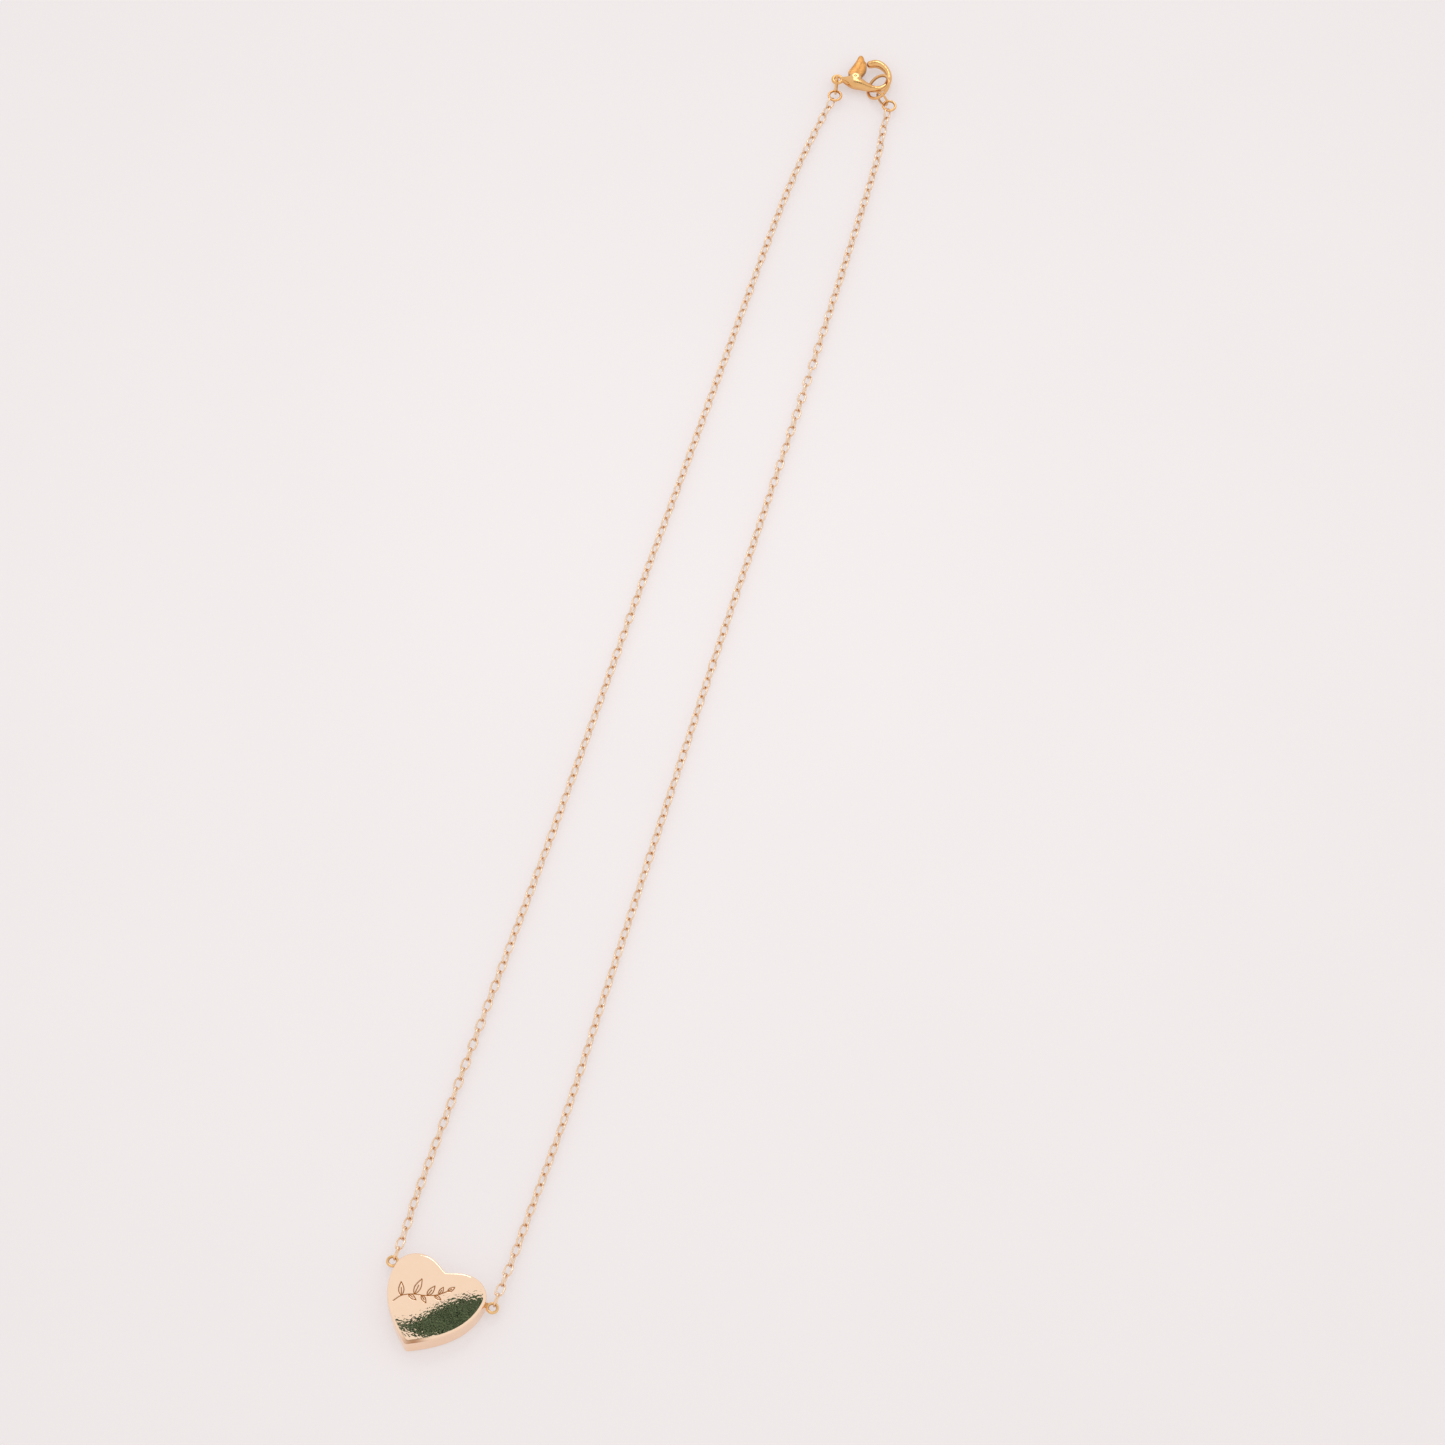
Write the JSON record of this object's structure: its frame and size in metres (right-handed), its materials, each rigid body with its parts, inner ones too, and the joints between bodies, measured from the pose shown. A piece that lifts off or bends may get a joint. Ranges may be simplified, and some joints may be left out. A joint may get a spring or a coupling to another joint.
{
  "type": "pendant necklace",
  "caption": "Fine cable-chain necklace with a polished domed heart held between two soldered rings, closed by a sprung lobster clasp and catch ring.",
  "frame": {"origin": "middle of the heart's flat back, on the surface it lies on", "axes": "+Y from the heart's tip through its notch towards the clasp, +Z out of the heart's face, +X to the wearer's left"},
  "size_m": [0.0526, 0.2276, 0.0032],
  "materials": {
    "heart_gold": "polished, gold plated",
    "chain_gold": "bright drawn wire, gold plated",
    "clasp_gold": "cast and tumbled, gold plated",
    "spring_steel": "plain"
  },
  "bodies": {
    "pendant": {"heart_pendant": "heart_gold", "pendant_ring_left": "chain_gold", "pendant_ring_right": "chain_gold"},
    "left_end_link": {"end_link_left": "chain_gold"},
    "left_chain_1": {"chain_left_1": "chain_gold"},
    "left_chain_2": {"chain_left_2": "chain_gold"},
    "left_chain_3": {"chain_left_3": "chain_gold"},
    "left_chain_4": {"chain_left_4": "chain_gold"},
    "left_chain_5": {"chain_left_5": "chain_gold"},
    "left_chain_6": {"chain_left_6": "chain_gold"},
    "clasp": {"end_ring_left": "chain_gold", "jump_ring_left": "chain_gold", "clasp_body": "clasp_gold", "clasp_pin": "clasp_gold", "clasp_spring": "spring_steel"},
    "lever": {"clasp_lever": "clasp_gold"},
    "right_end_link": {"end_link_right": "chain_gold"},
    "right_chain_1": {"chain_right_1": "chain_gold"},
    "right_chain_2": {"chain_right_2": "chain_gold"},
    "right_chain_3": {"chain_right_3": "chain_gold"},
    "right_chain_4": {"chain_right_4": "chain_gold"},
    "right_chain_5": {"chain_right_5": "chain_gold"},
    "right_chain_6": {"chain_right_6": "chain_gold"},
    "catch": {"end_ring_right": "chain_gold", "jump_ring_right": "chain_gold", "catch_ring": "chain_gold"}
  },
  "joints": [
    {"name": "chain_lift", "type": "hinge", "parent": "pendant", "child": "left_end_link", "pos_m": [-0.00772, 0.00454, 0.0012], "axis": [1, 0, 0], "range_deg": [0, 80]},
    {"name": "chain_lift_right", "type": "hinge", "parent": "pendant", "child": "right_end_link", "pos_m": [0.00772, 0.00454, 0.0012], "axis": [1, 0, 0], "range_deg": [0, 80]},
    {"name": "necklace_spread", "type": "hinge", "parent": "left_end_link", "child": "left_chain_1", "pos_m": [-0.00793, 0.00592, 0.0012], "axis": [0, 0, 1], "range_deg": [0, 40]},
    {"name": "left_knee_2", "type": "hinge", "parent": "left_chain_1", "child": "left_chain_2", "pos_m": [-0.01416, 0.04054, 0.0007], "axis": [0, 0, 1], "range_deg": [-19.1, 0]},
    {"name": "left_knee_3", "type": "hinge", "parent": "left_chain_2", "child": "left_chain_3", "pos_m": [-0.02001, 0.07525, 0.0007], "axis": [0, 0, 1], "range_deg": [-12.5, 0]},
    {"name": "left_knee_4", "type": "hinge", "parent": "left_chain_3", "child": "left_chain_4", "pos_m": [-0.0263, 0.10988, 0.0007], "axis": [0, 0, 1], "range_deg": [-17, 0]},
    {"name": "left_knee_5", "type": "hinge", "parent": "left_chain_4", "child": "left_chain_5", "pos_m": [-0.03236, 0.14456, 0.0007], "axis": [0, 0, 1], "range_deg": [-21.9, 0]},
    {"name": "left_knee_6", "type": "hinge", "parent": "left_chain_5", "child": "left_chain_6", "pos_m": [-0.03821, 0.17764, 0.0007], "axis": [0, 0, 1], "range_deg": [-7.1, 0]},
    {"name": "left_top_turn", "type": "hinge", "parent": "left_chain_6", "child": "clasp", "pos_m": [-0.04199, 0.21097, 0.00107], "axis": [0, 0, 1], "range_deg": [0, 37.3]},
    {"name": "right_knee_1", "type": "hinge", "parent": "right_end_link", "child": "right_chain_1", "pos_m": [0.0075, 0.00592, 0.0012], "axis": [0, 0, 1], "range_deg": [-41.9, 0]},
    {"name": "right_knee_2", "type": "hinge", "parent": "right_chain_1", "child": "right_chain_2", "pos_m": [0.00173, 0.04062, 0.0007], "axis": [0, 0, 1], "range_deg": [0, 19.5]},
    {"name": "right_knee_3", "type": "hinge", "parent": "right_chain_2", "child": "right_chain_3", "pos_m": [-0.00518, 0.07514, 0.0007], "axis": [0, 0, 1], "range_deg": [0, 13.3]},
    {"name": "right_knee_4", "type": "hinge", "parent": "right_chain_3", "child": "right_chain_4", "pos_m": [-0.012, 0.10967, 0.0007], "axis": [0, 0, 1], "range_deg": [0, 17.4]},
    {"name": "right_knee_5", "type": "hinge", "parent": "right_chain_4", "child": "right_chain_5", "pos_m": [-0.01858, 0.14425, 0.0007], "axis": [0, 0, 1], "range_deg": [0, 18.8]},
    {"name": "right_knee_6", "type": "hinge", "parent": "right_chain_5", "child": "right_chain_6", "pos_m": [-0.02545, 0.17877, 0.0007], "axis": [0, 0, 1], "range_deg": [0, 8.4]},
    {"name": "right_top_turn", "type": "hinge", "parent": "right_chain_6", "child": "catch", "pos_m": [-0.0333, 0.21305, 0.001], "axis": [0, 0, 1], "range_deg": [-35.4, 0]},
    {"name": "clasp_lever_open", "type": "hinge", "parent": "clasp", "child": "lever", "pos_m": [-0.04054, 0.21613, 0.00122], "axis": [0, 0, 1], "range_deg": [0, 28], "stiffness_Nm_per_rad": 0.0004, "springref_deg": -20.05}
  ],
  "couplings": [
    {"joint": "chain_lift_right", "follows": "chain_lift", "ratio": 1},
    {"joint": "left_knee_2", "follows": "necklace_spread", "ratio": -0.47619},
    {"joint": "left_knee_3", "follows": "necklace_spread", "ratio": -0.31041},
    {"joint": "left_knee_4", "follows": "necklace_spread", "ratio": -0.42328},
    {"joint": "left_knee_5", "follows": "necklace_spread", "ratio": -0.54586},
    {"joint": "left_knee_6", "follows": "necklace_spread", "ratio": -0.17549},
    {"joint": "left_top_turn", "follows": "necklace_spread", "ratio": 0.93122},
    {"joint": "right_knee_1", "follows": "necklace_spread", "ratio": -1.0459},
    {"joint": "right_knee_2", "follows": "necklace_spread", "ratio": 0.48721},
    {"joint": "right_knee_3", "follows": "necklace_spread", "ratio": 0.33157},
    {"joint": "right_knee_4", "follows": "necklace_spread", "ratio": 0.43254},
    {"joint": "right_knee_5", "follows": "necklace_spread", "ratio": 0.46869},
    {"joint": "right_knee_6", "follows": "necklace_spread", "ratio": 0.20988},
    {"joint": "right_top_turn", "follows": "necklace_spread", "ratio": -0.88404}
  ]
}
